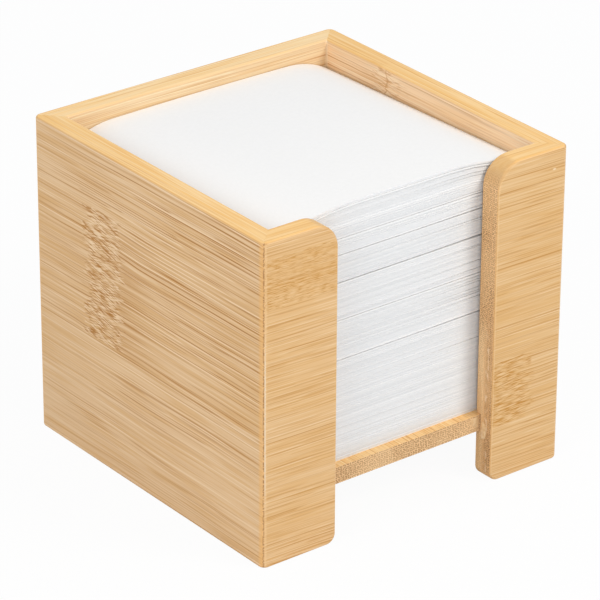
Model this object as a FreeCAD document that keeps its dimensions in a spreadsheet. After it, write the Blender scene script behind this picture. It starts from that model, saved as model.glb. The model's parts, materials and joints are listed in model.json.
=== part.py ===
import FreeCAD, Part
import math
import os
import Sketcher

# Memo box: a mitred bamboo frame with a wide finger opening at the front, a base panel
# housed in grooves well above the table, and a stack of loose note sheets.
# Front faces -Y, +Z is up, and the origin is under the middle of the box.

doc = FreeCAD.newDocument("memo_box")
sheet = doc.addObject("Spreadsheet::Sheet", "sizes")
tolerance = 1e-6             # for picking edges by their place

# Driving dimensions in millimetres
sizes = {
    "sheet_width": 90,       # note sheet, left to right
    "sheet_depth": 90,       # note sheet, front to back
    "sheet_play": 0.5,       # room beside the sheets on every side
    "box_height": 97,
    "wall": 7,               # thickness of the walls and posts
    "post_width": 25,        # from the outer corner to the finger opening
    "corner_round": 2,       # outer upright corners
    "edge_round": 0.8,       # eased edges of every panel
    "grip_round": 8,         # upper corner of a post at the opening
    "toe_round": 3,          # lower corner of a post at the opening
    "base_rise": 14.6,       # open space under the base panel
    "base_thickness": 5,
    "tongue": 2,             # how far the base panel enters its grooves
    "tongue_play": 0.2,      # room past the panel's edge in the groove
    "groove_play": 0.1,      # room above the panel in the groove
    "front_gap": 0.2,        # rim down to the top sheet at the front
    "front_droop": 5.8,      # how far the top sheet's side edges hang at the front
    "front_droop_span": 30,  # width of the drooping strip at each side of the front
    "back_gap": 3.5,         # the same three at the back
    "back_droop": 4.4,
    "back_droop_span": 16,
    "bundle_gap": 0.2,       # air between two bundles of sheets
    "overrun": 1,            # how far a cut runs past the face it opens
}
for row, (name, value) in enumerate(sizes.items(), start=1):
    sheet.set(f"A{row}", name)
    sheet.set(f"B{row}", str(value))
    sheet.setAlias(f"B{row}", name)
doc.recompute()

# Where the stack parts, as shares of its height, from the base panel to the top sheet
division_shares = (0, 0.397, 0.552, 0.697, 0.805, 0.868, 0.915, 0.987, 1)
# How much of the top sheet's droop, in depth and in width, each of those divisions has
droop_shares = (0, 0, 0, 0.2, 0.4, 0.55, 0.75, 0.95, 1)
# How far each bundle is pushed towards the back, as a share of the play round it
push_shares = (0.8, 0.5, 0.55, 0.3, 0.1, 0.2, 0.3, 0.4)

# Sizes that follow from the driving dimensions
inner_half_width = "(sizes.sheet_width / 2 + sizes.sheet_play)"
inner_half_depth = "(sizes.sheet_depth / 2 + sizes.sheet_play)"
half_width = f"({inner_half_width} + sizes.wall)"
half_depth = f"({inner_half_depth} + sizes.wall)"
base_top = "(sizes.base_rise + sizes.base_thickness)"
corner_cut = "(sizes.corner_round * (1 - sqrt(2) / 2))"
opening_side = f"(sizes.post_width - {half_width})"


def number(expression):
    return float(sheet.evalExpression(expression))


def new_body(label):
    body = doc.addObject("PartDesign::Body", label)
    body.Label = label
    return body


def new_sketch(body, role, name):
    plane = next(item for item in body.Origin.OriginFeatures if item.Role == role)
    sketch = body.newObject("Sketcher::SketchObject", f"{body.Label}_{name}")
    sketch.AttachmentSupport = [(plane, "")]
    sketch.MapMode = "FlatFace"
    return sketch


def arc_between(start, end, radius, turn):
    # Minor arc from start to end; turn is 1 with its centre on the left, -1 on the right
    chord = end - start
    middle = (start + end) * 0.5
    reach = math.sqrt(radius ** 2 - chord.Length ** 2 / 4)
    aside = FreeCAD.Vector(-chord.y, chord.x, 0).normalize() * (reach * turn)
    centre = middle + aside
    first, last = (start, end) if turn > 0 else (end, start)
    angles = [math.atan2(spot.y - centre.y, spot.x - centre.x) for spot in (first, last)]
    circle = Part.Circle(centre, FreeCAD.Vector(0, 0, 1), radius)
    return Part.ArcOfCircle(circle, *angles)


def draw_outline(sketch, corners, rounds=None):
    # Closed outline, anticlockwise. Each corner is a pair of expressions, and rounds gives the
    # radius and turn of every stretch that is an arc, by the number of the corner it starts at.
    rounds = rounds or {}
    spots = [FreeCAD.Vector(number(x), number(y), 0) for x, y in corners]
    ends = []
    for index, start in enumerate(spots):
        end = spots[(index + 1) % len(spots)]
        radius, turn = rounds.get(index, (None, 1))
        if radius:
            sketch.addGeometry(arc_between(start, end, number(radius), turn))
        else:
            sketch.addGeometry(Part.LineSegment(start, end))
        ends.append((1, 2) if turn > 0 else (2, 1))

    def bind(expression, kind, *places):
        index = sketch.addConstraint(Sketcher.Constraint(kind, *places, number(expression)))
        sketch.setExpression(f"Constraints[{index}]", expression)

    for index, (x, y) in enumerate(corners):
        following = (index + 1) % len(corners)
        joined = (index, ends[index][1], following, ends[following][0])
        sketch.addConstraint(Sketcher.Constraint("Coincident", *joined))
        bind(x, "DistanceX", -1, 1, index, ends[index][0])
        bind(y, "DistanceY", -1, 1, index, ends[index][0])
    for index, (radius, turn) in rounds.items():
        bind(radius, "Radius", index)


def pad(body, sketch, length):
    feature = body.newObject("PartDesign::Pad", f"{body.Label}_pad")
    feature.Profile = sketch
    feature.setExpression("Length", length)
    doc.recompute()
    return feature


def fillet(body, name, base, wanted, radius):
    edges = [f"Edge{index}" for index, edge in enumerate(base.Shape.Edges, start=1) if wanted(edge)]
    feature = body.newObject("PartDesign::Fillet", f"{body.Label}_{name}")
    feature.Base = (base, edges)
    feature.setExpression("Radius", radius)
    doc.recompute()
    return feature


def is_near(first, second):
    return math.isclose(first, second, abs_tol=tolerance)


def is_round(edge):
    return isinstance(edge.Curve, Part.Circle)


def runs_along(edge, axis):
    return not is_round(edge) and is_near(abs(edge.Curve.Direction.dot(axis)), 1)


def cut_groove(body):
    # Groove for the base panel, along the whole inner face
    before = body.Shape.Volume
    floor = "sizes.wall - sizes.tongue - sizes.tongue_play"
    mouth = "sizes.wall + sizes.overrun"
    low = "sizes.base_rise"
    high = f"{base_top} + sizes.groove_play"
    sketch = new_sketch(body, "YZ_Plane", "groove_outline")
    draw_outline(sketch, [(floor, low), (mouth, low), (mouth, high), (floor, high)])
    groove = body.newObject("PartDesign::Pocket", f"{body.Label}_groove")
    groove.Profile = sketch
    groove.Type = "ThroughAll"
    groove.Midplane = True
    doc.recompute()
    if body.Shape.Volume >= before:
        raise RuntimeError(f"the groove of {body.Label} cuts nothing")


# Walls, each drawn in plan along X with its outer face on the X axis and a mitre at both ends

def make_wall(label, half_run, across, along, turn):
    body = new_body(label)
    plan = new_sketch(body, "XY_Plane", "plan")
    draw_outline(
        plan,
        [
            (f"{corner_cut} - {half_run}", corner_cut),
            (f"sizes.corner_round - {half_run}", "0"),
            (f"{half_run} - sizes.corner_round", "0"),
            (f"{half_run} - {corner_cut}", corner_cut),
            (f"{half_run} - sizes.wall", "sizes.wall"),
            (f"sizes.wall - {half_run}", "sizes.wall"),
        ],
        {0: ("sizes.corner_round", 1), 2: ("sizes.corner_round", 1)},
    )
    block = pad(body, plan, "sizes.box_height")

    def eased(edge):
        return is_round(edge) or runs_along(edge, FreeCAD.Vector(1, 0, 0))

    fillet(body, "eased_edges", block, eased, "sizes.edge_round")
    cut_groove(body)
    body.Placement.Rotation = FreeCAD.Rotation(FreeCAD.Vector(0, 0, 1), turn)
    body.setExpression("Placement.Base.x", across)
    body.setExpression("Placement.Base.y", along)
    return body


left_wall = make_wall("left_wall", half_depth, f"-{half_width}", "0", -90)
right_wall = make_wall("right_wall", half_depth, half_width, "0", 90)
back_wall = make_wall("back_wall", half_width, "0", half_depth, 180)


# Front posts: the left one has a mitre at its outer end and a rounded grip corner at the opening

def make_left_post():
    body = new_body("front_left_post")
    plan = new_sketch(body, "XY_Plane", "plan")
    draw_outline(
        plan,
        [
            (f"{corner_cut} - {half_width}", corner_cut),
            (f"sizes.corner_round - {half_width}", "0"),
            (opening_side, "0"),
            (opening_side, "sizes.wall"),
            (f"sizes.wall - {half_width}", "sizes.wall"),
        ],
        {0: ("sizes.corner_round", 1)},
    )
    block = pad(body, plan, "sizes.box_height")

    def at_opening(edge):
        return is_near(edge.CenterOfMass.x, number(opening_side))

    def grip_corner(edge):
        return at_opening(edge) and is_near(edge.CenterOfMass.z, number("sizes.box_height"))

    def toe_corner(edge):
        return at_opening(edge) and is_near(edge.CenterOfMass.z, 0)

    def eased(edge):
        upright = runs_along(edge, FreeCAD.Vector(0, 0, 1)) and at_opening(edge)
        return is_round(edge) or runs_along(edge, FreeCAD.Vector(1, 0, 0)) or upright

    gripped = fillet(body, "grip", block, grip_corner, "sizes.grip_round")
    toed = fillet(body, "toe", gripped, toe_corner, "sizes.toe_round")
    fillet(body, "eased_edges", toed, eased, "sizes.edge_round")
    cut_groove(body)
    body.setExpression("Placement.Base.y", f"-{half_depth}")
    return body


front_left_post = make_left_post()
front_right_post = doc.addObject("Part::Mirroring", "front_right_post")
front_right_post.Label = "front_right_post"
front_right_post.Source = front_left_post
front_right_post.Normal = FreeCAD.Vector(1, 0, 0)


# Base panel, which enters the grooves of all five uprights and shows its edge at the opening

def make_base():
    body = new_body("base_panel")
    plan = new_sketch(body, "XY_Plane", "plan")
    side = f"{inner_half_width} + sizes.tongue"
    end = f"{inner_half_depth} + sizes.tongue"
    corners = [(f"-({side})", f"-({end})"), (side, f"-({end})"), (side, end), (f"-({side})", end)]
    draw_outline(plan, corners)
    pad(body, plan, "sizes.base_thickness")
    body.setExpression("Placement.Base.z", "sizes.base_rise")
    return body


base_panel = make_base()


# Loose sheets: bundles that are flat in the middle and droop at both side edges, more so higher
# up, and that stand higher at the front, where fingers have loosened them

def bundle_profile(sketch, end, place):
    # end is front or back
    half = "sizes.sheet_width / 2"
    stack = f"(sizes.box_height - sizes.{end}_gap - {base_top})"
    heights = [f"({base_top} + {stack} * {share})" for share in division_shares[place:place + 2]]
    if place > 0:
        heights[0] = f"({heights[0]} + sizes.bundle_gap)"
    corners = []
    rounds = {}
    for height, share, side in zip(heights, droop_shares[place:place + 2], ("-", "")):
        other = "" if side else "-"
        droop = f"(sizes.{end}_droop * {share})"
        width = f"(sizes.{end}_droop_span * {share})"
        flat = f"({half} - {width})"
        bend = f"(({width} ^ 2 + {droop} ^ 2) / (2 * {droop}))"
        turn = -1 if side else 1
        start = len(corners)
        corners.append((f"{side}({half})", f"{height} - {droop}"))
        if share > 0:
            corners.append((f"{side}{flat}", height))
            corners.append((f"{other}{flat}", height))
            rounds[start] = (bend, turn)
            rounds[start + 2] = (bend, turn)
        corners.append((f"{other}({half})", f"{height} - {droop}"))
    draw_outline(sketch, corners, rounds)


def make_bundle(label, place):
    body = new_body(label)
    front = new_sketch(body, "XZ_Plane", "front")
    bundle_profile(front, "front", place)
    front.setExpression("AttachmentOffset.Base.z", "sizes.sheet_depth / 2")
    back = new_sketch(body, "XZ_Plane", "back")
    bundle_profile(back, "back", place)
    back.setExpression("AttachmentOffset.Base.z", "-sizes.sheet_depth / 2")
    doc.recompute()
    loft = body.newObject("PartDesign::AdditiveLoft", f"{label}_loft")
    loft.Profile = front
    loft.Sections = [back]
    loft.Ruled = True
    body.setExpression("Placement.Base.y", f"sizes.sheet_play * {push_shares[place]}")
    return body


bundle_count = len(division_shares) - 1
bundle_names = [f"sheet_bundle_{place + 1}" for place in range(bundle_count - 1)] + ["top_sheets"]
bundles = [make_bundle(name, place) for place, name in enumerate(bundle_names)]

# Checks, then one file for each piece
doc.recompute()
for item in doc.Objects:
    if {"Invalid", "Error"} & set(item.State):
        raise RuntimeError(f"{item.Label} failed: {item.State}")
pieces = [left_wall, right_wall, back_wall, front_left_post, front_right_post, base_panel, *bundles]
os.makedirs("parts", exist_ok=True)
for piece in pieces:
    if piece.Shape.isNull() or not piece.Shape.isValid() or len(piece.Shape.Solids) != 1:
        raise RuntimeError(f"{piece.Label} is not one valid solid")
for piece in pieces:
    piece.Shape.exportStep(f"parts/{piece.Label}.step")
    box = piece.Shape.BoundBox
    low = f"{box.XMin:.2f} {box.YMin:.2f} {box.ZMin:.2f}"
    high = f"{box.XMax:.2f} {box.YMax:.2f} {box.ZMax:.2f}"
    print(f"{piece.Label}: {low} to {high}, {piece.Shape.Volume / 1000:.2f} cm3")
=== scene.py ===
import json
import math
from types import SimpleNamespace
import bpy
import numpy as np
from mathutils import Matrix, Vector


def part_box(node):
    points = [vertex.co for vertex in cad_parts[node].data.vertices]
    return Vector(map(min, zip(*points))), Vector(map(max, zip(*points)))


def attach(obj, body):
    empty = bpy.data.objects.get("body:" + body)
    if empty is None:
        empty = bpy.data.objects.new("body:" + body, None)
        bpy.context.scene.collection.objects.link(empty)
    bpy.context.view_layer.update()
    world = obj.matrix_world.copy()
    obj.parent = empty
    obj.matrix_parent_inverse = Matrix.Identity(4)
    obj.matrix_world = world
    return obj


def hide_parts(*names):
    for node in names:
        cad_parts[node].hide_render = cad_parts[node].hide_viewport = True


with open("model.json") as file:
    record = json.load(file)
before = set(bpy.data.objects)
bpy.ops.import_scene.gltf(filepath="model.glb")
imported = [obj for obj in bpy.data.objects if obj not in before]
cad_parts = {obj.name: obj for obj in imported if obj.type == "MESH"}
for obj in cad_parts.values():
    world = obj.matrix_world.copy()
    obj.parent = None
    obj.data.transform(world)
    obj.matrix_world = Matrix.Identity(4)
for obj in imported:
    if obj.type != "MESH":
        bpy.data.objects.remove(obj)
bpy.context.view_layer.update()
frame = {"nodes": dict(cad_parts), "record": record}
mm = 0.001  # the frame is in metres, the sizes below are in millimetres
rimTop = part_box("left_wall")[1].z / mm
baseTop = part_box("base_panel")[1].z / mm
wallInside = -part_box("left_wall")[1].x / mm     # from the middle to the inner faces of the walls
scene = bpy.context.scene
scene.view_settings.view_transform = "Standard"
print("frame loaded,", len(frame["nodes"]), "nodes")


class Wire:
    # an output socket of a node tree: arithmetic on values adds Math nodes, make() adds any other node
    def __init__(self, tree, socket=None):
        self.tree = tree
        self.socket = socket

    def make(self, kind, settings, sockets, output=0):
        node = self.tree.nodes.new("ShaderNode" + kind)
        for name, value in settings.items():
            setattr(node, name, value)
        for name, value in sockets.items():
            if isinstance(value, Wire):
                self.tree.links.new(value.socket, node.inputs[name])
            else:
                node.inputs[name].default_value = value
        return Wire(self.tree, node.outputs[output] if node.outputs else None)

    def beside(self, output):
        # another output of the same node
        return Wire(self.tree, self.socket.node.outputs[output])

    def maths(self, operation, first, second=0.0):
        return self.make("Math", {"operation": operation}, {0: first, 1: second})

    def __add__(self, other):
        return self.maths("ADD", self, other)

    def __radd__(self, other):
        return self.maths("ADD", other, self)

    def __sub__(self, other):
        return self.maths("SUBTRACT", self, other)

    def __rsub__(self, other):
        return self.maths("SUBTRACT", other, self)

    def __mul__(self, other):
        return self.maths("MULTIPLY", self, other)

    def __rmul__(self, other):
        return self.maths("MULTIPLY", other, self)

    def __truediv__(self, other):
        return self.maths("DIVIDE", self, other)

    def __rtruediv__(self, other):
        return self.maths("DIVIDE", other, self)

    def __abs__(self):
        return self.maths("ABSOLUTE", self)

    def floor(self):
        return self.maths("FLOOR", self)

    def larger(self, other):
        return self.maths("MAXIMUM", self, other)

    def above(self, level):
        return self.maths("GREATER_THAN", self, level)

    def smooth(self, low, high):
        # 0 at low and 1 at high, eased at both ends; low may be the greater
        sockets = {"Value": self, "From Min": low, "From Max": high}
        return self.make("MapRange", {"interpolation_type": "SMOOTHSTEP"}, sockets)

    def paint(self, under, over):
        # colour under where this value is 0, colour over where it is 1
        return self.make("Mix", {"data_type": "RGBA"}, {0: self, 6: under, 7: over}, 2)

    def scatter(self):
        # a chance value of its own for every whole number
        return self.make("TexWhiteNoise", {"noise_dimensions": "1D"}, {"W": self})

    def noise(self, x, y, z, detail):
        spot = self.make("CombineXYZ", {}, {"X": x, "Y": y, "Z": z})
        return self.make("TexNoise", {}, {"Vector": spot, "Scale": 1.0, "Detail": detail})


def tint(red, green, blue):
    # a screen colour, 0 to 255, as the linear colour that a shader takes
    level = np.array([red, green, blue]) / 255
    linear = np.where(level <= 0.04045, level / 12.92, ((level + 0.055) / 1.055) ** 2.4)
    return (*linear.tolist(), 1.0)


def newMaterial(name):
    material = bpy.data.materials.new(name)
    material.use_nodes = True
    material.node_tree.nodes.clear()
    return material, Wire(material.node_tree)


def millimetres(bench):
    # Object coordinates in millimetres, as three values
    spot = bench.make("TexCoord", {}, {}, "Object")
    scaled = bench.make("VectorMath", {"operation": "SCALE"}, {"Vector": spot, "Scale": 1 / mm})
    parts = bench.make("SeparateXYZ", {}, {"Vector": scaled})
    return parts, parts.beside("Y"), parts.beside("Z")


def facing(bench):
    # how squarely the surface faces along each axis, 0 to 1
    normal = bench.make("TexCoord", {}, {}, "Normal")
    parts = bench.make("SeparateXYZ", {}, {"Vector": normal})
    return abs(parts), abs(parts.beside("Y")), abs(parts.beside("Z"))


# Bamboo: one solid pattern, so that faces, rims and sawn ends of a panel agree with each other
bamboo = {
    "wander": 1.2,          # how far a fibre strays over a panel
    "ragged": 18.0,         # how uneven the sides of a knot are
    "stripShift": 40,       # how far apart in the pattern two glued strips are cut at most
    "skew": 0.8,            # how far lines move across the panel per millimetre of its thickness
    "faint": 0.6,           # how much of the lines is left where they are faint
    "poreScatter": 0.45,    # how far pores stray from even rows
    # each noise: its changes per millimetre on three axes, the axis that the seed shifts, and its detail
    "noises": {
        "wander": ((0.02, 0.05, 0.05), 0, 1.0),
        "ragged": ((0.08, 0.35, 0.1), 1, 3.0),
        "flow": ((0.05, 0.08, 0.05), 1, 1.0),
        "cloud": ((0.02, 0.07, 0.07), 0, 2.0),
        "streak": ((0.03, 0.8, 0.8), 1, 1.0),
        "group": ((0.02, 0.35, 0.35), 1, 1.0),
        "patch": ((0.3, 0.3, 0.3), 1, 1.0),
        "layers": ((0.3, 1.1, 0.05), 0, 1.0),
        "beads": ((0.4, 1.6, 0.4), 2, 3.0),
        "broken": ((2.0, 0.3, 0.3), 1, 2.0),
    },
    # each set of lines: spacing and length as shares of the panel's own, half width, and shift of the seed
    "combs": {
        "bold": {"spacing": 1.0, "length": 1.0, "half": 0.17, "shift": 0},
        "fine": {"spacing": 0.55, "length": 0.6, "half": 0.11, "shift": 5},
        "bright": {"spacing": 0.8, "length": 0.7, "half": 0.14, "shift": 9},
    },
    # distances from a mitre where each of its marks ends and where it is full; the thread is a pale line of
    # lacquer beside the mitre, between two heights where it fades
    "mitre": {
        "band": (2.4, 1.2), "crack": (0.45, 0.15), "glue": (0.7, 0.2),
        "threadOff": 0.55, "thread": (0.28, 0.1), "threadTop": (74, 58), "threadFoot": (14, 32),
    },
    "lowEnd": (54, 40),     # heights between which the two layers of a post's end come to differ
    # tones of rims, inner faces and sawn ends; the inner faces' tones are lighter than the outer faces',
    # painted light against the shade inside the box
    "rim": {
        "light": (254, 217, 159), "pale": (250, 207, 140), "deep": (245, 193, 115), "dark": (222, 160, 80),
    },
    "backRim": {
        "light": (255, 230, 184), "pale": (255, 221, 167), "deep": (253, 209, 142), "dark": (230, 176, 106),
    },
    # painted light: inner faces are lighter than outer ones, against the shade inside the box
    "inner": {
        "light": (252, 229, 195), "pale": (247, 215, 177), "deep": (239, 195, 140), "dark": (196, 142, 84),
    },
    # painted light: the back wall's inner face is lighter than its outer face, and less red against the warm
    # light bounced inside the box
    "backInner": {
        "light": (246, 228, 190), "pale": (239, 211, 170), "deep": (230, 190, 134), "dark": (196, 142, 84),
    },
    "postEnd": {
        "light": (250, 214, 163), "pale": (242, 200, 147), "deep": (217, 170, 117), "dark": (146, 100, 54),
    },
    "baseEnd": {
        "light": (249, 218, 174), "pale": (240, 202, 152), "deep": (219, 175, 122), "dark": (146, 100, 56),
    },
    "grip": (214, 168, 112),        # rounded corners beside the finger opening
    "orangeEdge": (236, 182, 112), "peachEdge": (242, 203, 152),
    "seam": (158, 108, 60), "thread": (238, 228, 206), "glue": (247, 224, 190), "chip": (240, 216, 180),
    "rough": 0.52, "endRough": 0.15, "specular": 0.35, "bump": 0.05, "bumpDepth": 0.05,
}
# the usual knot; along and across give its middle, reach and height its half sizes, length, pitch and
# slant are those of its flecks and sparse thins them out, bend is how far fibres turn aside for it,
# strength, gleam and stain say how clear the knot, its light flecks and its deeper ground are, tail is the
# side where its stain trails off, and crack is how clear a dark line through it is
usualKnot = {
    "length": 4.0, "pitch": 2.8, "slant": 0.2, "bend": 1.2, "sparse": 0.0, "strength": 0.75, "gleam": 0.9,
    "stain": 0.35, "tail": -1, "crack": 0.0,
}
# the usual panel; grain gives the axes along the fibres, across them on the broad face, and through the
# thickness, strips the joints of its glued strips, and lean the slope of its fibres; spacing and length are
# those of its darker lines, fade and lift are where along and across the panel they go from faint to clear,
# and lines, streaky and pores say how strong lines, broad streaks and the pores of a sawn end are; poreGap
# is the distance between pores, and ply the depth of the joint between two layers seen on a sawn end; rim,
# inner and end name sets of tones in bamboo, and a panel's own four tones are those of its broad face
usualPanel = {
    "lean": 0.0, "spacing": 1.4, "length": 36, "lines": 1.3, "streaky": 0.4, "lift": (-200, -100),
    "pores": 0.3, "poreGap": 0.6, "ply": 0, "chips": [], "knots": [],
    "rim": "rim", "inner": "inner", "end": "postEnd",
}
panels = {
    "left_wall": {
        "grain": "YZX", "seed": 2.3, "strips": (39.2, 59.0, 79.3), "fade": (48, 6), "lift": (20, 80),
        "knots": [{
            "along": 19.8, "across": 59.1, "reach": 11, "height": 20.0,
        }],
        "light": (243, 213, 174), "pale": (227, 190, 144), "deep": (214, 167, 104), "dark": (170, 108, 8),
    },
    "right_wall": {
        "grain": "YZX", "seed": 8.1, "strips": (19.0, 38.5, 58.2, 78.4), "fade": (-60, -20),
        "knots": [{
            "along": 17.7, "across": 88.0, "reach": 7, "height": 9.5, "tail": 1, "crack": 0.5,
        }, {
            "along": -28.0, "across": 48.4, "reach": 10, "height": 9.8,
        }],
        "light": (243, 214, 174), "pale": (229, 192, 146), "deep": (216, 170, 108), "dark": (172, 112, 12),
    },
    "back_wall": {
        "grain": "XZY", "seed": 5.7, "strips": (20.5, 40.2, 60.4, 80.0), "fade": (60, 20),
        "rim": "backRim", "inner": "backInner",
        "knots": [{
            "along": -14.0, "across": 50.3, "reach": 10, "height": 10.0,
        }],
        "light": (243, 214, 172), "pale": (230, 193, 145), "deep": (217, 171, 108), "dark": (174, 114, 14),
    },
    "front_left_post": {
        "grain": "XZY", "seed": 11.9, "strips": (17.5, 36.8, 57.0, 77.2),
        "lean": 0.035, "spacing": 1.0, "length": 20, "fade": (-80, -60), "lines": 0.68, "streaky": 0.25,
        "pores": 1.0, "ply": 49.2,
        "knots": [{
            "along": -38.0, "across": 84.5, "reach": 34, "height": 7.6, "length": 2.6, "pitch": 4.4,
            "slant": 0.02, "bend": 0.3, "sparse": 0.03, "strength": 0.52, "gleam": 0.4, "stain": 0.8,
        }],
        "light": (240, 210, 168), "pale": (228, 189, 138), "deep": (220, 171, 102), "dark": (186, 124, 14),
    },
    "front_right_post": {
        "grain": "XZY", "seed": 14.2, "strips": (17.2, 37.2, 56.4, 76.8),
        "lean": 0.02, "spacing": 1.0, "length": 24, "fade": (-10, 20), "lines": 0.65, "streaky": 0.25,
        "pores": 1.0, "ply": 49.2,
        "chips": [{"along": 47.4, "across": 91.0, "length": 0.7, "height": 0.35}],
        "knots": [{
            "along": 32.0, "across": 27.2, "reach": 11, "height": 10.2, "length": 3.6, "pitch": 3.0,
            "slant": 0.08, "strength": 0.65, "gleam": 0.5, "stain": 0.8,
        }],
        "light": (238, 208, 165), "pale": (226, 187, 134), "deep": (216, 166, 95), "dark": (184, 122, 14),
    },
    "base_panel": {
        "grain": "YXZ", "seed": 20.4, "strips": (-30.0, -10.0, 10.2, 30.1), "fade": (-80, -60),
        "pores": 0.82, "end": "baseEnd",
        "light": (254, 222, 168), "pale": (250, 209, 147), "deep": (237, 188, 122), "dark": (212, 160, 98),
    },
}


def grainNoise(panel, key, *spot):
    # one of the noises of bamboo, shifted by the panel's seed
    scales, seedAxis, detail = bamboo["noises"][key]
    spot = [value * scale for value, scale in zip(spot, scales)]
    spot[seedAxis] = spot[seedAxis] + panel.seed
    return panel.bench.noise(*spot, detail)


def panelPattern(bench, look):
    # what the layers of a panel's finish share: places in millimetres, the run of its fibres, and masks
    panel = SimpleNamespace(bench=bench, look=look, seed=look["seed"])
    panel.x, panel.y, panel.z = millimetres(bench)
    panel.faces = dict(zip("XYZ", facing(bench)))
    axes = {"X": panel.x, "Y": panel.y, "Z": panel.z}
    panel.along, panel.across, panel.depth = (axes[letter] for letter in look["grain"])
    panel.endFace = panel.faces[look["grain"][0]]
    panel.upright = look["grain"][2] != "Z"
    setFibres(panel)
    setTones(panel)
    return panel


def setFibres(panel):
    # fibres lean a little, wander slowly and bend beside a knot
    look = panel.look
    spot = panel.along, panel.across, panel.depth
    wander = grainNoise(panel, "wander", *spot) - 0.5
    panel.lane = panel.across + panel.along * look["lean"] + wander * bamboo["wander"]
    panel.ragged = grainNoise(panel, "ragged", *spot) - 0.5
    flow = grainNoise(panel, "flow", *spot) - 0.5
    panel.knots = [SimpleNamespace(**{**usualKnot, **knot}) for knot in look["knots"]]
    for knot in panel.knots:
        aside = abs(panel.along - knot.along + panel.ragged * bamboo["ragged"])
        level = abs(panel.across - knot.across).smooth(knot.height + 0.4, knot.height - 0.8)
        knot.core = aside.smooth(knot.reach, knot.reach * 0.5) * level
        knot.surround = aside.smooth(knot.reach * 2.6, knot.reach) * level
        panel.lane = panel.lane + knot.surround * flow * knot.bend
    # each glued strip has its own tone and its own run of fibres
    strip = panel.seed
    for joint in look["strips"]:
        strip = panel.across.above(joint) + strip
    panel.stripTone = strip.scatter()
    panel.inside = panel.depth + panel.stripTone * bamboo["stripShift"]
    panel.cloud = grainNoise(panel, "cloud", panel.along, panel.lane, panel.inside)
    panel.streak = grainNoise(panel, "streak", panel.along, panel.lane, panel.inside)


def setTones(panel):
    # rims, inner faces and sawn ends have their own tones, and calmer lines; the lighter tones of the inner
    # faces are painted light against the shade inside the box
    look = panel.look
    panel.sawn = panel.endFace.smooth(0.75, 0.95)
    panel.calm = 1 - panel.sawn * 0.8
    panel.streaky = look["streaky"]
    panel.offRim = 1
    areas = []
    if panel.upright:
        panel.rim = panel.faces["Z"].smooth(0.5, 0.9)
        panel.offRim = 1 - panel.rim
        # inner faces take the lighter tones, painted light against their shade
        inner = abs(panel.depth).smooth(wallInside + 0.7, wallInside + 0.3)
        areas = [(inner, look["inner"]), (panel.rim, look["rim"])]
        panel.calm = panel.calm - inner * 0.3 - panel.rim * 0.1
        panel.streaky = panel.streaky + panel.rim * 0.3
    areas.append((panel.sawn, look["end"]))
    tones = {tone: tint(*look[tone]) for tone in ("light", "pale", "deep", "dark")}
    for mask, key in areas:
        tones = {tone: mask.paint(colour, tint(*bamboo[key][tone])) for tone, colour in tones.items()}
    panel.tones = tones


def combed(panel, key):
    # lines side by side at uneven distances, each with its own strength and its own breaks
    comb = bamboo["combs"][key]
    spacing = panel.look["spacing"] * comb["spacing"]
    length = panel.look["length"] * comb["length"]
    half = comb["half"]
    seed = panel.seed + comb["shift"]
    spot = panel.along * 0.008 + seed, panel.lane * (0.5 / spacing), panel.inside * 0.3
    drift = panel.bench.noise(*spot, 1.0)
    place = panel.lane + panel.depth * bamboo["skew"] + panel.stripTone * bamboo["stripShift"]
    rows = place / spacing + drift * 1.4 + seed
    row = rows.floor()
    unbroken = panel.bench.noise(panel.along / length, row * 3.7, seed, 0.0).smooth(0.36, 0.5)
    line = (abs(rows - row - 0.5) * spacing).smooth(half * 1.4, half * 0.6)
    return line * (0.2 + row.scatter() * 0.8) * unbroken


def paintFibres(panel):
    # a clouded ground with broad streaks, and bright, fine and bold lines on it
    tones, cloud, streak = panel.tones, panel.cloud, panel.streak
    streaky = (1 - panel.sawn) * panel.streaky
    strength = panel.calm * panel.look["lines"]
    for place, ends in ((panel.along, panel.look["fade"]), (panel.across, panel.look["lift"])):
        strength = strength * (bamboo["faint"] + place.smooth(*ends) * (1 - bamboo["faint"]))
    group = grainNoise(panel, "group", panel.along, panel.lane, panel.inside).smooth(0.38, 0.58)
    panel.lines = combed(panel, "bold") * strength * (0.3 + group * 0.7)
    fine = combed(panel, "fine") * strength * (0.4 + group * 0.4)
    bright = combed(panel, "bright") * strength
    ground = cloud.smooth(0.35, 0.68) * 0.3 + (panel.stripTone - 0.5) * 0.2
    body = ground.paint(tones["pale"], tones["deep"])
    body = (streak.smooth(0.50, 0.60) * streaky).paint(body, tones["deep"])
    body = (streak.smooth(0.44, 0.34) * streaky * 0.5).paint(body, tones["light"])
    body = bright.paint(body, tones["light"])
    body = fine.paint(body, tones["dark"])
    return panel.lines.paint(body, tones["dark"])


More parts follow.
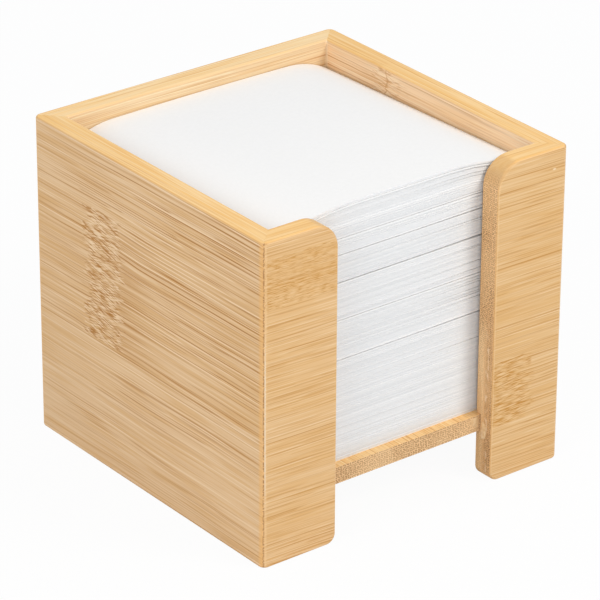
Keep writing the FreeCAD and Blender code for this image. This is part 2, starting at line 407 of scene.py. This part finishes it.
def paintKnot(panel, knot, body):
    # a mat of short crossed flecks, light and dark, in a deeper stain that trails off to one side
    tones, core, lane, inside = panel.tones, knot.core, panel.lane, panel.inside
    run = panel.along / knot.length
    slant = panel.along * knot.slant
    rise = panel.bench.noise(run, (lane + slant) * knot.pitch, inside * knot.pitch + panel.seed, 0.0)
    fall = panel.bench.noise(run + panel.seed, (lane - slant) * knot.pitch, inside * knot.pitch, 0.0)
    patch = grainNoise(panel, "patch", panel.along, panel.across, panel.depth).smooth(0.3, 0.6)
    mark = core.smooth(0, 0.5) * panel.calm * knot.strength * (0.5 + patch * 0.5) * panel.offRim
    thin = (1 - core) * 0.16 + knot.sparse
    past = panel.along - knot.along
    trail = (past * knot.tail).smooth(knot.reach * 0.2, knot.reach * 0.7) * knot.surround
    body = (mark * core * knot.stain).paint(body, tones["deep"])
    body = (trail * panel.streak.smooth(0.42, 0.56) * panel.calm * 0.25).paint(body, tones["dark"])
    body = (mark * (rise + thin).smooth(0.47, 0.36) * knot.gleam).paint(body, tones["light"])
    body = (mark * (fall - thin).smooth(0.53, 0.64)).paint(body, tones["dark"])
    body = (mark * (rise - thin).smooth(0.55, 0.66)).paint(body, tones["dark"])
    body = (mark * (fall + thin).smooth(0.45, 0.34) * knot.gleam).paint(body, tones["light"])
    if knot.crack:
        split = abs(past + panel.ragged * 5).smooth(0.45, 0.15) * core.smooth(0, 0.3)
        body = (split * panel.offRim * knot.crack).paint(body, tones["dark"])
    return body


def paintSawnEnd(panel, body):
    # pores in nearly even rows, in thicker and thinner patches
    gap = panel.look["poreGap"]
    spot = panel.bench.make("CombineXYZ", {}, {"X": panel.across / gap + panel.seed, "Y": panel.depth / gap})
    poreSockets = {"Vector": spot, "Scale": 1.0, "Randomness": bamboo["poreScatter"]}
    pore = panel.bench.make("TexVoronoi", {"voronoi_dimensions": "2D"}, poreSockets)
    panel.pores = panel.sawn * (pore.smooth(0.5, 0.2) * (0.7 + panel.cloud.smooth(0.4, 0.6) * 0.3))
    body = (panel.pores * panel.look["pores"]).paint(body, panel.tones["dark"])
    return paintLayers(panel, body) if panel.look["ply"] else body


def paintLayers(panel, body):
    # low down the inner layer of a sawn end is the paler one, with flecks of glue along the joint
    tones, sawn, ply = panel.tones, panel.sawn, panel.look["ply"]
    low = panel.across.smooth(*bamboo["lowEnd"])
    outer = (abs(panel.depth) + panel.ragged).smooth(ply - 0.2, ply + 0.2)
    body = (sawn * outer * low * 0.2).paint(body, tones["dark"])
    body = (sawn * (1 - outer) * low * 0.5).paint(body, tones["light"])
    layers = grainNoise(panel, "layers", panel.along, panel.depth, panel.across).smooth(0.42, 0.6)
    body = (sawn * layers * 0.5).paint(body, tones["deep"])
    beads = grainNoise(panel, "beads", panel.x, panel.y, panel.z).smooth(0.5, 0.62)
    joint = abs(abs(panel.depth) - (ply + 0.7)).smooth(1.0, 0.2)
    return (sawn * joint * beads * low * 0.6).paint(body, tint(*bamboo["glue"]))


def paintEdges(panel, body):
    # edges are painted orange where they turn to the sides and peach where they turn to the front; large
    # roundings are a deeper tone
    faces = panel.faces
    square = faces["X"].larger(faces["Y"]).larger(faces["Z"])
    rounding = panel.endFace.smooth(0.1, 0.35) * faces["Z"].smooth(0.1, 0.35)
    edgeTone = faces["Y"].smooth(0.55, 0.8).paint(tint(*bamboo["orangeEdge"]), tint(*bamboo["peachEdge"]))
    edge = square.smooth(0.985, 0.88) * (1 - rounding) * (0.45 - faces["Z"].smooth(0.15, 0.4) * 0.15)
    body = edge.paint(body, edgeTone)
    if panel.upright:
        body = (rounding * 0.5).paint(body, tint(*bamboo["grip"]))
    for chip in panel.look["chips"]:
        aside = (panel.along - chip["along"]) / chip["length"]
        level = (panel.across - chip["across"]) / chip["height"]
        spread = (aside * aside + level * level).smooth(1.3, 0.1)
        body = (spread * 0.8).paint(body, tint(*bamboo["chip"]))
    return body


def paintMitres(panel, body):
    # mitred corners lie where x and y are equal: a broken dark line beside an orange band on the sides, a
    # pale thread on the front, and pale glue inside
    mitre, z = bamboo["mitre"], panel.z
    off = abs(abs(panel.x) - abs(panel.y))
    broken = grainNoise(panel, "broken", z, panel.x, panel.y).smooth(0.4, 0.52)
    outside = abs(panel.x).larger(abs(panel.y)).smooth(wallInside + 1, wallInside + 2)
    side, front = (panel.faces[axis].smooth(0.5, 0.8) * outside for axis in "XY")
    band = off.smooth(*mitre["band"]) * side * panel.offRim * 0.5
    body = band.paint(body, tint(*bamboo["orangeEdge"]))
    crack = off.smooth(*mitre["crack"]) * broken * outside * (0.75 - panel.rim * 0.7)
    body = crack.paint(body, tint(*bamboo["seam"]))
    shown = z.smooth(*mitre["threadTop"]) * z.smooth(*mitre["threadFoot"]) * (0.45 + broken * 0.35)
    thread = abs(off - mitre["threadOff"]).smooth(*mitre["thread"]) * front * shown
    body = thread.paint(body, tint(*bamboo["thread"]))
    squeezed = off.smooth(*mitre["glue"]) * (1 - outside) * panel.offRim * 0.7
    return squeezed.paint(body, tint(*bamboo["glue"]))


def bambooMaterial(name, look):
    material, bench = newMaterial(name)
    panel = panelPattern(bench, look)
    body = paintFibres(panel)
    for knot in panel.knots:
        body = paintKnot(panel, knot, body)
    body = paintSawnEnd(panel, body)
    body = paintEdges(panel, body)
    if panel.upright:
        body = paintMitres(panel, body)
    rough = bamboo["rough"] + (panel.streak - 0.5) * 0.2 + panel.sawn * bamboo["endRough"]
    bump = bench.make("Bump", {}, {
        "Height": panel.streak * 0.4 - panel.lines - panel.pores,
        "Strength": bamboo["bump"], "Distance": bamboo["bumpDepth"] * mm,
    })
    shader = bench.make("BsdfPrincipled", {}, {
        "Base Color": body, "Roughness": rough, "Normal": bump, "Specular IOR Level": bamboo["specular"],
    })
    bench.make("OutputMaterial", {}, {"Surface": shader})
    return material


for node, look in panels.items():
    material = bambooMaterial(node + "_bamboo", {**usualPanel, **look})
    frame["nodes"][node].material_slots[0].material = material
print("bamboo panels finished,", len(panels))

# Note paper: every bundle is a pile of thin leaves, each a closed slab
paper = {
    "seed": 41,
    "leaf": 0.36,           # usual thickness of one leaf, a few sheets that lie tight
    "weights": (0.5, 1.6),  # thinnest and thickest leaf, as shares of the usual one
    "fewest": 3,            # leaves of the thinnest bundle
    "columns": 17, "topColumns": 41,        # points across a leaf, and across one of the top bundle
    # the top sheet's ends: below the rim, crown over the whole width, hang and width of the rolled sides
    "front": {"gap": 0.2, "crown": 0.0, "droop": 5.8, "span": 30.0},
    "back": {"gap": 4.2, "crown": 0.5, "droop": 3.7, "span": 14.0},
    # where bundles begin and end, as shares of the stack's height and of the top sheet's bend
    "shares": (0, 0.397, 0.552, 0.697, 0.805, 0.868, 0.915, 0.987, 1),
    "droopShares": (0, 0, 0, 0.2, 0.4, 0.55, 0.75, 0.95, 1),
    "gap": 0.005,           # air between two leaves, and where a few have parted
    "wideGap": 0.05,
    "gapShare": 0.7,        # the most of a leaf's own room that this air may take
    "wideShares": (0.04, 0.12, 0.14, 0.12, 0.2, 0.2, 0.14, 0),      # share of parted leaves in each bundle
    "fan": 0.2,             # how much further parted leaves open at the right, and where that begins and ends
    "fanFrom": -2, "fanTo": 26,
    "partings": (0, 0.52, 0.25, 0.6, 0.46, 0.22, 0.12, 0.12),       # air below each bundle at the front
    "widen": 0.5,           # how much of it is added at the right
    "lips": (0, 0.35, 0, 0.15, 0.25, 0, 0.2, 0),                    # how far its lowest leaf stands out
    "ledges": (0, 0, 0, 0, 0, 0, 0.2, 0),                           # and its highest leaf
    "slip": 0.06, "slipMost": 0.1,          # small slips of single leaves to the front and back
    "turn": 0.0005, "turnMost": 0.001,      # and their small turns, in radians
    "sharp": 40,            # degrees from which an edge isn't shaded smooth
    "toneSpread": 0.6,      # how light the cut edges of leaves are at most; the outermost leaves of each bundle have 1, a painted highlight along the partings
    # painted shade: the cut edges of the leaves are darker than their flat faces, standing in for the shade
    # on the sides of the stack
    "edgeLight": (244, 245, 246), "edgeDark": (222, 224, 226),
    "face": ((248, 248, 248), (250, 250, 250)), "topFace": ((250, 248, 245), (252, 250, 247)),
    "fibre": (0.9, 0.9, 6.0),               # changes of its fibres per millimetre along X, Y and Z
    "rough": 0.85, "specular": 0.2, "bump": 0.05, "bumpDepth": 0.02,
}
bundles = [f"sheet_bundle_{place}" for place in range(1, len(paper["shares"]) - 1)] + ["top_sheets"]


def leafMaterial(name, face):
    material, bench = newMaterial(name)
    # the leaf attribute holds each leaf's own tone, and a painted highlight on the outermost leaves
    tone = bench.make("Attribute", {"attribute_name": "leafToneAndHighlight"}, {}, "Fac")
    spot = (value * scale for value, scale in zip(millimetres(bench), paper["fibre"]))
    fibre = bench.noise(*spot, 3.0)
    mottle = fibre.smooth(0.3, 0.7)
    # cut edges darker than flat faces: painted shade on the sides of the stack
    cut = (tone * 0.7 + mottle * 0.3).paint(tint(*paper["edgeDark"]), tint(*paper["edgeLight"]))
    flat = mottle.paint(*(tint(*colour) for colour in face))
    body = facing(bench)[2].smooth(0.5, 0.9).paint(cut, flat)
    bump = bench.make("Bump", {}, {
        "Height": fibre, "Strength": paper["bump"], "Distance": paper["bumpDepth"] * mm,
    })
    shader = bench.make("BsdfPrincipled", {}, {
        "Base Color": body, "Roughness": paper["rough"], "Normal": bump,
        "Specular IOR Level": paper["specular"],
    })
    bench.make("OutputMaterial", {}, {"Surface": shader})
    return material


paperMaterial = leafMaterial("note_paper_leaves", paper["face"])
topMaterial = leafMaterial("top_sheet_leaves", paper["topFace"])
dice = np.random.default_rng(paper["seed"])


def edgeHeight(end, share, droopShare, x, half):
    # a share of the stack at its front or back edge, less a slight crown and an arc that rolls the sides down
    level = baseTop + share * (rimTop - paper[end]["gap"] - baseTop)
    level = level - paper[end]["crown"] * droopShare * (x / half) ** 2
    drop = paper[end]["droop"] * droopShare
    width = paper[end]["span"] * droopShare
    if drop == 0:
        return level
    bend = (width ** 2 + drop ** 2) / (2 * drop)
    past = np.clip(np.abs(x) - (half - width), 0, width)
    return level - bend + np.sqrt(bend ** 2 - past ** 2)


def leafPoints(place, node, columns):
    # z = under + (over - under) * t, with the bundle's lower and upper face, and t running from the
    # underside of a leaf to its top; the axes are leaf, lower and upper face, front and back, column, x y z
    low, high = (np.array(corner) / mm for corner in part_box(node))
    share = paper["shares"][place:place + 2]
    droopShare = paper["droopShares"][place:place + 2]
    thick = (share[1] - share[0]) * (rimTop - baseTop)
    count = max(paper["fewest"], round(thick / paper["leaf"]))
    half = (high[0] - low[0]) / 2
    across = np.sin(np.linspace(-1, 1, columns) * math.pi / 2) * half
    gridX, gridY = np.meshgrid(across, (low[1], high[1]))
    under, over = (
        np.stack([edgeHeight(end, share[side], droopShare[side], across, half) for end in ("front", "back")])
        for side in (0, 1)
    )
    opening = np.clip((across - paper["fanFrom"]) / (paper["fanTo"] - paper["fanFrom"]), 0, 1) ** 2
    parting = paper["partings"][place] * (1 + paper["widen"] * opening)
    under = under + np.stack([parting, np.full(columns, paper["gap"])])
    wide = dice.random(count) < paper["wideShares"][place]
    weight = dice.uniform(*paper["weights"], count) + wide      # a parted leaf also takes room for its air
    ends = np.concatenate([[0], np.cumsum(weight)]) / weight.sum()
    gap = np.where(wide, paper["wideGap"], paper["gap"])[:, None] + paper["fan"] * wide[:, None] * opening
    gap[0] = 0
    gap = np.minimum(gap / thick, np.diff(ends)[:, None] * paper["gapShare"])
    t = np.stack([ends[:-1, None] + gap, np.repeat(ends[1:, None], columns, 1)], 1)[:, :, None, :]
    slip = dice.normal(0, paper["slip"], count).clip(-paper["slipMost"], paper["slipMost"])
    slip[0] = -paper["lips"][place]
    slip[-1] = -paper["ledges"][place]
    slip = slip[:, None, None, None]
    turn = dice.normal(0, paper["turn"], count).clip(-paper["turnMost"], paper["turnMost"])
    turn = turn[:, None, None, None]
    points = np.empty((count, 2, 2, columns, 3))
    points[..., 0] = gridX - turn * gridY
    points[..., 1] = gridY + turn * gridX + slip
    points[..., 2] = under + (over - under) * t
    return points


def leafFaces(count, columns):
    # a leaf's lower and upper face are strips from front to back, closed by strips and ends all round
    index = np.arange(count * 4 * columns).reshape(count, 2, 2, columns)

    def strip(first, second):
        corners = [first[..., :-1], first[..., 1:], second[..., 1:], second[..., :-1]]
        return np.stack(corners, -1).reshape(-1, 4)

    sideOrder = [(0, 1), (0, 0), (1, 0), (1, 1)]
    left = np.stack([index[:, level, row, 0] for level, row in sideOrder], -1)
    right = np.stack([index[:, level, row, -1] for level, row in reversed(sideOrder)], -1)
    return np.concatenate([
        strip(index[:, 1, 0], index[:, 1, 1]), strip(index[:, 0, 1], index[:, 0, 0]),
        strip(index[:, 0, 0], index[:, 1, 0]), strip(index[:, 1, 1], index[:, 0, 1]), left, right,
    ])


def leafBundle(place, node, body):
    highest = place == len(bundles) - 1
    columns = paper["topColumns"] if highest else paper["columns"]
    points = leafPoints(place, node, columns)
    count = len(points)
    quads = leafFaces(count, columns)
    mesh = bpy.data.meshes.new(node + "_leaves")
    mesh.from_pydata(points.reshape(-1, 3) * mm, [], quads.tolist())
    tone = dice.random(count) * paper["toneSpread"]
    # the lowest and highest leaf of each bundle get the lightest cut edge: a painted highlight along the
    # partings
    tone[[0, -1]] = 1
    pointToneAndHighlight = np.repeat(tone, 4 * columns).astype(np.float32)
    mesh.attributes.new("leafToneAndHighlight", "FLOAT", "POINT").data.foreach_set("value", pointToneAndHighlight)
    mesh.polygons.foreach_set("use_smooth", np.ones(len(quads), bool))
    mesh.set_sharp_from_angle(angle=math.radians(paper["sharp"]))
    mesh.materials.append(topMaterial if highest else paperMaterial)
    leaves = bpy.data.objects.new(node + "_leaves", mesh)
    scene.collection.objects.link(leaves)
    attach(leaves, body)
    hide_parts(node)
    return len(quads)


bodyOf = {node: body for body, nodes in frame["record"]["behaviour"]["bodies"].items() for node in nodes}
faceCount = sum(leafBundle(place, node, bodyOf[node]) for place, node in enumerate(bundles))
print("paper bundles laid,", faceCount, "faces")

# Glue that was squeezed out where the base meets the right post
glue = {
    "seed": 7, "rings": 6, "sides": 28,
    "sunk": 0.05,           # how far the flat back reaches into the wood
    "uneven": 0.35,         # how much of its reach a drop loses where it is narrowest
    "waves": 3,             # waves round its outline
    "smear": {"aside": 1.7, "rise": -2.0, "half": (2.1, 1.9), "bulge": 0.14},     # on the base's front edge
    "drip": {"aside": -1.5, "rise": -4.6, "half": (1.2, 4.2), "bulge": 0.18},     # on the post's inner side
    "light": (242, 212, 168), "deep": (225, 187, 136),
    "cloud": 0.8,           # changes of tone per millimetre
    "rough": 0.3, "specular": 0.4,
}


def glueMaterial():
    material, bench = newMaterial("squeezed_glue")
    cloud = bench.noise(*(value * glue["cloud"] for value in millimetres(bench)), 3.0)
    body = cloud.smooth(0.35, 0.65).paint(tint(*glue["deep"]), tint(*glue["light"]))
    shader = bench.make("BsdfPrincipled", {}, {
        "Base Color": body, "Roughness": glue["rough"] + cloud * 0.2, "Specular IOR Level": glue["specular"],
    })
    bench.make("OutputMaterial", {}, {"Surface": shader})
    return material


glueTone = glueMaterial()
glueDice = np.random.default_rng(glue["seed"])


def glueDrop(name, middle, first, second, outward):
    # a low dome: at share r of the way out, its height is bulge * (1 - r * r), over an uneven oval
    look = glue[name]
    angle = np.linspace(0, 2 * math.pi, glue["sides"], endpoint=False)
    phase = glueDice.uniform(0, 2 * math.pi, glue["waves"])
    wave = sum(np.sin((turn + 2) * angle + phase[turn]) / (turn + 1) for turn in range(glue["waves"]))
    reach = 1 + glue["uneven"] * (wave - wave.max()) / np.ptp(wave)
    r = np.linspace(0, 1, glue["rings"] + 1)[1:, None]
    u = r * reach * np.cos(angle) * look["half"][0]
    v = r * reach * np.sin(angle) * look["half"][1]
    height = np.broadcast_to(look["bulge"] * (1 - r ** 2) - glue["sunk"] * (r == 1), u.shape)
    grid = u[..., None] * first + v[..., None] * second + height[..., None] * outward
    grid = grid.reshape(-1, 3)
    points = np.concatenate([grid, [outward * look["bulge"], outward * -glue["sunk"]]]) + middle
    index = np.arange(len(grid)).reshape(glue["rings"], glue["sides"])
    following = np.roll(index, -1, 1)
    quads = np.stack([index[:-1], index[1:], following[1:], following[:-1]], -1).reshape(-1, 4)
    top = np.full(glue["sides"], len(grid))
    caps = [
        np.stack([top, index[0], following[0]], -1), np.stack([top + 1, following[-1], index[-1]], -1),
    ]
    mesh = bpy.data.meshes.new("glue_" + name)
    mesh.from_pydata(points * mm, [], quads.tolist() + np.concatenate(caps).tolist())
    mesh.polygons.foreach_set("use_smooth", np.ones(len(mesh.polygons), bool))
    mesh.materials.append(glueTone)
    drop = bpy.data.objects.new("glue_" + name, mesh)
    scene.collection.objects.link(drop)
    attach(drop, "holder")


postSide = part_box("front_right_post")[0].x / mm
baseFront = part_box("base_panel")[0].y / mm
axisX, axisY, axisZ = np.eye(3)
smear = glue["smear"]
smearSpot = np.array([postSide - smear["aside"], baseFront, baseTop + smear["rise"]])
glueDrop("smear", smearSpot, axisX, axisZ, -axisY)
drip = glue["drip"]
dripSpot = np.array([postSide, baseFront + drip["aside"], baseTop + drip["rise"]])
glueDrop("drip", dripSpot, -axisY, axisZ, -axisX)
print("glue drops set")

# Camera at the photograph's viewing angle
view = {
    "azimuth": -38.02, "elevation": 26.3, "roll": 0.34,     # degrees
    "target": (0.65, 0.0, 44.5), "distance": 1104.4, "lens": 236.1, "sensor": 36.0,
}


def addCamera():
    azimuth, elevation, roll = (math.radians(view[key]) for key in ("azimuth", "elevation", "roll"))
    flat = math.cos(elevation)
    back = Vector((math.sin(azimuth) * flat, -math.cos(azimuth) * flat, math.sin(elevation)))
    right = Vector((math.cos(azimuth), math.sin(azimuth), 0))
    turned = Matrix((right, back.cross(right), back)).transposed() @ Matrix.Rotation(roll, 3, "Z")
    data = bpy.data.cameras.new("photo_view")
    data.lens = view["lens"]
    data.sensor_width = view["sensor"]
    camera = bpy.data.objects.new("photo_view", data)
    scene.collection.objects.link(camera)
    eye = (Vector(view["target"]) + back * view["distance"]) * mm
    camera.matrix_world = Matrix.Translation(eye) @ turned.to_4x4()
    scene.camera = camera


# Soft studio light: a lamp's level is what it adds to a white surface that faces it
studio = {
    "sky": 0.58, "skyTone": (0.91, 1.0, 1.12, 1.0),
    "lamps": {
        "key": {"place": (350, -706, 757), "size": 400, "level": 0.405, "tone": (1.09, 1.0, 0.88)},
        "fill": {"place": (-900, -240, 560), "size": 700, "level": 0.29, "tone": (1.09, 1.0, 0.88)},
    },
    "aim": (0, 0, 50),
    "floor": 6000, "floorTone": (236, 236, 236),
    "floorGlow": 0.95,      # share of plain white in what the camera sees of the floor; the rest is shaded
    "white": (1, 1, 1, 1),
}


def addLamp(name, lamp):
    data = bpy.data.lights.new(name, "AREA")
    data.shape = "DISK"
    data.size = lamp["size"] * mm
    data.color = lamp["tone"]
    place = Vector(lamp["place"]) * mm
    path = place - Vector(studio["aim"]) * mm
    data.energy = lamp["level"] * math.pi ** 2 * path.length_squared
    light = bpy.data.objects.new(name, data)
    scene.collection.objects.link(light)
    light.matrix_world = Matrix.Translation(place) @ path.to_track_quat("Z", "Y").to_matrix().to_4x4()


def seen(bench):
    # 1 for what the camera sees, directly, in a gloss or through glass
    path = bench.make("LightPath", {}, {}, "Is Camera Ray")
    return path.larger(path.beside("Is Glossy Ray")).larger(path.beside("Is Transmission Ray"))


def addSky():
    world = bpy.data.worlds.new("studio")
    world.use_nodes = True
    world.node_tree.nodes.clear()
    bench = Wire(world.node_tree)
    plain = bench.make("Background", {}, {"Color": studio["white"], "Strength": 1.0})
    light = bench.make("Background", {}, {"Color": studio["skyTone"], "Strength": studio["sky"]})
    both = bench.make("MixShader", {}, {0: seen(bench), 1: light, 2: plain})
    bench.make("OutputWorld", {}, {"Surface": both})
    scene.world = world


def addFloor():
    material, bench = newMaterial("studio_floor")
    matt = bench.make("BsdfDiffuse", {}, {"Color": tint(*studio["floorTone"])})
    glow = bench.make("Emission", {}, {"Color": studio["white"], "Strength": 1.0})
    mixed = bench.make("MixShader", {}, {0: seen(bench) * studio["floorGlow"], 1: matt, 2: glow})
    bench.make("OutputMaterial", {}, {"Surface": mixed})
    half = studio["floor"] / 2 * mm
    corners = [(-half, -half, 0), (half, -half, 0), (half, half, 0), (-half, half, 0)]
    mesh = bpy.data.meshes.new("studio_floor")
    mesh.from_pydata(corners, [], [(0, 1, 2, 3)])
    mesh.materials.append(material)
    floor = bpy.data.objects.new("studio_floor", mesh)
    scene.collection.objects.link(floor)


addCamera()
for name, lamp in studio["lamps"].items():
    addLamp(name, lamp)
addSky()
addFloor()
print("camera, lamps and floor set")
